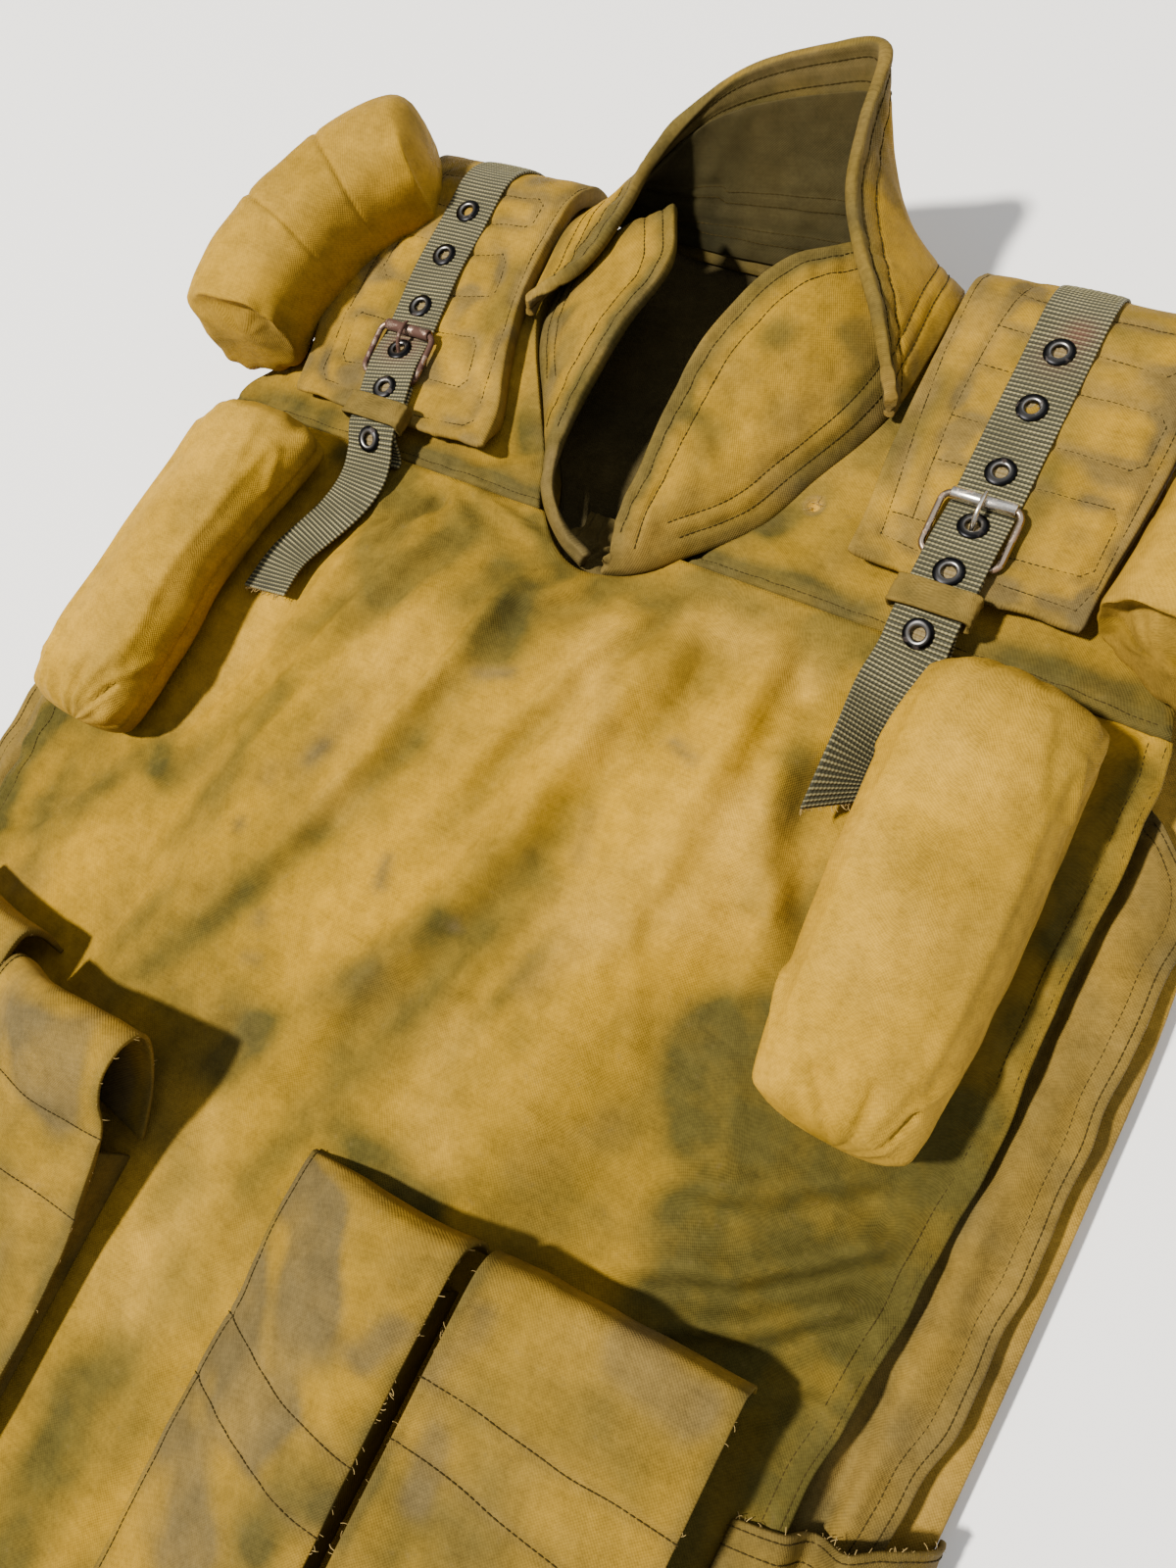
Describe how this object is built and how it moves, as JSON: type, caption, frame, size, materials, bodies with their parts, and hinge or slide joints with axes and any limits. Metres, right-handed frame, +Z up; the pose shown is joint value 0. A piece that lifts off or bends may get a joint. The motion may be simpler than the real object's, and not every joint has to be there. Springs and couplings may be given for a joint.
{
  "type": "body armor vest",
  "caption": "Plated cloth body armour vest laid flat: stand-up collar, neck guards, padded shoulder flaps with buckled straps, stuffed rolls and flapped pouches.",
  "frame": {"origin": "centre of the garment's box, on the surface that it lies on", "axes": "+Y along the garment's length towards the head, +X to the wearer's left, +Z up from the surface"},
  "size_m": [0.5524, 0.6908, 0.1155],
  "materials": {
    "cloth": "faded khaki synthetic plain weave with olive and grey stains, satin sheen",
    "cloth_shade": "the same cloth, darker and dirtier",
    "lining": "dark olive lining cloth",
    "webbing": "ribbed olive-grey woven webbing",
    "blackened_steel": "blackened steel with worn bright rims",
    "bright_steel": "worn plated steel, bronze in places",
    "rusty_steel": "plated steel with brown rust"
  },
  "bodies": {
    "root": {"back_section": "cloth", "front_chest_panel": "cloth", "side_wing_right": "cloth", "side_wing_left": "cloth", "front_yoke_right": "cloth", "front_yoke_left": "cloth", "shoulder_flap_right": "cloth", "shoulder_flap_left": "cloth", "shoulder_roll_right": "cloth", "shoulder_roll_left": "cloth", "chest_roll_right": "cloth", "chest_roll_left": "cloth", "back_collar": "cloth", "neck_guard_right": "cloth", "neck_guard_left": "cloth", "pouch_flap_1": "cloth", "pouch_flap_2": "cloth", "pouch_flap_3": "cloth", "pouch_flap_4": "cloth", "keeper_right": "cloth_shade", "keeper_left": "cloth_shade", "pouch_body_1": "cloth_shade", "pouch_body_2": "cloth_shade", "pouch_body_3": "cloth_shade", "pouch_body_4": "cloth_shade", "side_belt_right": "cloth_shade", "side_belt_left": "cloth_shade", "collar_lining": "lining", "strap_right": "webbing", "strap_left": "webbing", "buckle_strap_right": "webbing", "buckle_strap_left": "webbing", "eyelet_right_1": "blackened_steel", "eyelet_right_2": "blackened_steel", "eyelet_right_3": "blackened_steel", "eyelet_right_4": "blackened_steel", "eyelet_right_5": "blackened_steel", "eyelet_right_6": "blackened_steel", "eyelet_left_1": "blackened_steel", "eyelet_left_2": "blackened_steel", "eyelet_left_3": "blackened_steel", "eyelet_left_4": "blackened_steel", "eyelet_left_5": "blackened_steel", "eyelet_left_6": "blackened_steel", "buckle_frame_right": "bright_steel", "buckle_roller_right": "bright_steel", "buckle_prong_right": "bright_steel", "buckle_frame_left": "rusty_steel", "buckle_roller_left": "rusty_steel", "buckle_prong_left": "rusty_steel"}
  },
  "joints": []
}
